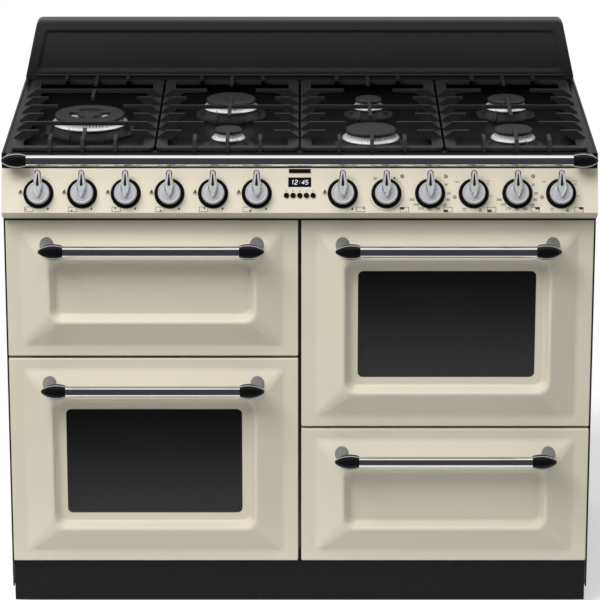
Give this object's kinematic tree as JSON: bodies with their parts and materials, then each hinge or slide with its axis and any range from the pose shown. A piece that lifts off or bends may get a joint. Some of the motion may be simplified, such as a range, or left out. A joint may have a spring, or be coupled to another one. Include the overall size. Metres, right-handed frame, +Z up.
{
  "type": "gas cooker",
  "caption": "Freestanding gas range cooker with drop-down oven and grill doors, storage drawer, gas burners, cast pan supports, turning knobs and splashback.",
  "frame": {"origin": "on the floor, under the middle of the whole cooker's box", "axes": "+X to the right seen from the front, +Y towards the wall behind, +Z up; the doors face -Y"},
  "size_m": [1.1, 0.6654, 1.024],
  "materials": {
    "cream_enamel": "gloss enamel, cream",
    "black_enamel": "gloss enamel, black",
    "black_panel": "satin black paint",
    "grey_enamel": "speckled dark grey oven enamel",
    "chrome": "polished",
    "satin_metal": "satin, brushed in circles",
    "zinc_steel": "zinc-plated sheet",
    "aluminium": "turned, bright",
    "cast_iron": "matte enamelled",
    "cap_enamel": "matte enamel, black",
    "brass": "machined",
    "black_plastic": "gloss, black",
    "dark_glass": "tinted, gloss",
    "amber_lens": "translucent amber"
  },
  "bodies": {
    "cooker": {"side_panels": "black_panel", "back_panel": "zinc_steel", "base_frame": "zinc_steel", "plinth": "black_panel", "feet": "black_plastic", "inner_frame": "zinc_steel", "hob_top": "black_enamel", "splashback": "black_enamel", "front_rail": "chrome", "burner_plates": "cap_enamel", "flame_rings": "aluminium", "burner_caps": "cap_enamel", "gas_pipes": "aluminium", "control_valves": "brass", "control_panel": "cream_enamel", "knob_bezels": "black_plastic", "clock_display": "black_plastic", "indicator_lamps": "amber_lens", "grill_cavity": "grey_enamel", "left_oven_cavity": "grey_enamel", "right_oven_cavity": "grey_enamel", "oven_shelves": "chrome", "heating_elements": "satin_metal"},
    "grill_door": {"grill_door_skin": "cream_enamel", "grill_door_liner": "grey_enamel", "grill_door_handle": "chrome"},
    "left_oven_door": {"left_oven_door_skin": "cream_enamel", "left_oven_door_liner": "grey_enamel", "left_oven_door_glass": "dark_glass", "left_oven_door_handle": "chrome"},
    "right_oven_door": {"right_oven_door_skin": "cream_enamel", "right_oven_door_liner": "grey_enamel", "right_oven_door_glass": "dark_glass", "right_oven_door_handle": "chrome"},
    "drawer": {"drawer_front": "cream_enamel", "drawer_box": "zinc_steel", "drawer_handle": "chrome"},
    "left_fan": {"left_fan": "zinc_steel"},
    "right_fan": {"right_fan": "zinc_steel"},
    "pan_support_1": {"pan_support_1": "cast_iron"},
    "pan_support_2": {"pan_support_2": "cast_iron"},
    "pan_support_3": {"pan_support_3": "cast_iron"},
    "pan_support_4": {"pan_support_4": "cast_iron"},
    "knob_1": {"knob_1": "satin_metal"},
    "knob_2": {"knob_2": "satin_metal"},
    "knob_3": {"knob_3": "satin_metal"},
    "knob_4": {"knob_4": "satin_metal"},
    "knob_5": {"knob_5": "satin_metal"},
    "knob_6": {"knob_6": "satin_metal"},
    "knob_7": {"knob_7": "satin_metal"},
    "knob_8": {"knob_8": "satin_metal"},
    "knob_9": {"knob_9": "satin_metal"},
    "knob_10": {"knob_10": "satin_metal"},
    "knob_11": {"knob_11": "satin_metal"},
    "knob_12": {"knob_12": "satin_metal"},
    "button_1": {"button_1": "black_plastic"},
    "button_2": {"button_2": "black_plastic"},
    "button_3": {"button_3": "black_plastic"},
    "button_4": {"button_4": "black_plastic"},
    "button_5": {"button_5": "black_plastic"}
  },
  "joints": [
    {"name": "grill_door_hinge", "type": "hinge", "parent": "cooker", "child": "grill_door", "pos_m": [-0.27475, -0.25825, 0.515], "axis": [1, 0, 0], "range_deg": [0, 90], "stiffness_Nm_per_rad": 2, "springref_deg": -45.84},
    {"name": "left_oven_door_hinge", "type": "hinge", "parent": "cooker", "child": "left_oven_door", "pos_m": [-0.27475, -0.25825, 0.103], "axis": [1, 0, 0], "range_deg": [0, 90], "stiffness_Nm_per_rad": 4, "springref_deg": -45.84},
    {"name": "right_oven_door_hinge", "type": "hinge", "parent": "cooker", "child": "right_oven_door", "pos_m": [0.27475, -0.25825, 0.375], "axis": [1, 0, 0], "range_deg": [0, 90], "stiffness_Nm_per_rad": 4, "springref_deg": -45.84},
    {"name": "drawer_slide", "type": "slide", "parent": "cooker", "child": "drawer", "axis": [0, 1, 0], "range_m": [-0.38, 0]},
    {"name": "pan_support_1_lift", "type": "slide", "parent": "cooker", "child": "pan_support_1", "axis": [0, 0, 1], "range_m": [0, 0.1]},
    {"name": "pan_support_2_lift", "type": "slide", "parent": "cooker", "child": "pan_support_2", "axis": [0, 0, 1], "range_m": [0, 0.1]},
    {"name": "pan_support_3_lift", "type": "slide", "parent": "cooker", "child": "pan_support_3", "axis": [0, 0, 1], "range_m": [0, 0.1]},
    {"name": "pan_support_4_lift", "type": "slide", "parent": "cooker", "child": "pan_support_4", "axis": [0, 0, 1], "range_m": [0, 0.1]},
    {"name": "knob_1_turn", "type": "hinge", "parent": "cooker", "child": "knob_1", "pos_m": [-0.4818, -0.29739, 0.83315], "axis": [0, -0.9298, 0.3681], "range_deg": [0, 210]},
    {"name": "knob_2_turn", "type": "hinge", "parent": "cooker", "child": "knob_2", "pos_m": [-0.4013, -0.29739, 0.83315], "axis": [0, -0.9298, 0.3681], "range_deg": [0, 210]},
    {"name": "knob_3_turn", "type": "hinge", "parent": "cooker", "child": "knob_3", "pos_m": [-0.3208, -0.29739, 0.83315], "axis": [0, -0.9298, 0.3681], "range_deg": [0, 210]},
    {"name": "knob_4_turn", "type": "hinge", "parent": "cooker", "child": "knob_4", "pos_m": [-0.2403, -0.29739, 0.83315], "axis": [0, -0.9298, 0.3681], "range_deg": [0, 210]},
    {"name": "knob_5_turn", "type": "hinge", "parent": "cooker", "child": "knob_5", "pos_m": [-0.1598, -0.29739, 0.83315], "axis": [0, -0.9298, 0.3681], "range_deg": [0, 210]},
    {"name": "knob_6_turn", "type": "hinge", "parent": "cooker", "child": "knob_6", "pos_m": [-0.0793, -0.29739, 0.83315], "axis": [0, -0.9298, 0.3681], "range_deg": [0, 210]},
    {"name": "knob_7_turn", "type": "hinge", "parent": "cooker", "child": "knob_7", "pos_m": [0.0793, -0.29739, 0.83315], "axis": [0, -0.9298, 0.3681], "range_deg": [0, 210]},
    {"name": "knob_8_turn", "type": "hinge", "parent": "cooker", "child": "knob_8", "pos_m": [0.1598, -0.29739, 0.83315], "axis": [0, 0.9298, -0.3681], "range_deg": [0, 270]},
    {"name": "knob_9_turn", "type": "hinge", "parent": "cooker", "child": "knob_9", "pos_m": [0.2403, -0.29739, 0.83315], "axis": [0, 0.9298, -0.3681], "range_deg": [0, 270]},
    {"name": "knob_10_turn", "type": "hinge", "parent": "cooker", "child": "knob_10", "pos_m": [0.3208, -0.29739, 0.83315], "axis": [0, 0.9298, -0.3681], "continuous": true},
    {"name": "knob_11_turn", "type": "hinge", "parent": "cooker", "child": "knob_11", "pos_m": [0.4013, -0.29739, 0.83315], "axis": [0, 0.9298, -0.3681], "range_deg": [0, 270]},
    {"name": "knob_12_turn", "type": "hinge", "parent": "cooker", "child": "knob_12", "pos_m": [0.4818, -0.29739, 0.83315], "axis": [0, 0.9298, -0.3681], "continuous": true},
    {"name": "button_1_press", "type": "slide", "parent": "cooker", "child": "button_1", "axis": [0, 0.9298, -0.3681], "range_m": [0, 0.0015], "stiffness_N_per_m": 400, "springref_m": -0.002},
    {"name": "button_2_press", "type": "slide", "parent": "cooker", "child": "button_2", "axis": [0, 0.9298, -0.3681], "range_m": [0, 0.0015], "stiffness_N_per_m": 400, "springref_m": -0.002},
    {"name": "button_3_press", "type": "slide", "parent": "cooker", "child": "button_3", "axis": [0, 0.9298, -0.3681], "range_m": [0, 0.0015], "stiffness_N_per_m": 400, "springref_m": -0.002},
    {"name": "button_4_press", "type": "slide", "parent": "cooker", "child": "button_4", "axis": [0, 0.9298, -0.3681], "range_m": [0, 0.0015], "stiffness_N_per_m": 400, "springref_m": -0.002},
    {"name": "button_5_press", "type": "slide", "parent": "cooker", "child": "button_5", "axis": [0, 0.9298, -0.3681], "range_m": [0, 0.0015], "stiffness_N_per_m": 400, "springref_m": -0.002},
    {"name": "left_fan_spin", "type": "hinge", "parent": "cooker", "child": "left_fan", "pos_m": [-0.27475, 0.18475, 0.2985], "axis": [0, 1, 0], "continuous": true},
    {"name": "right_fan_spin", "type": "hinge", "parent": "cooker", "child": "right_fan", "pos_m": [0.27475, 0.18475, 0.5705], "axis": [0, 1, 0], "continuous": true}
  ]
}
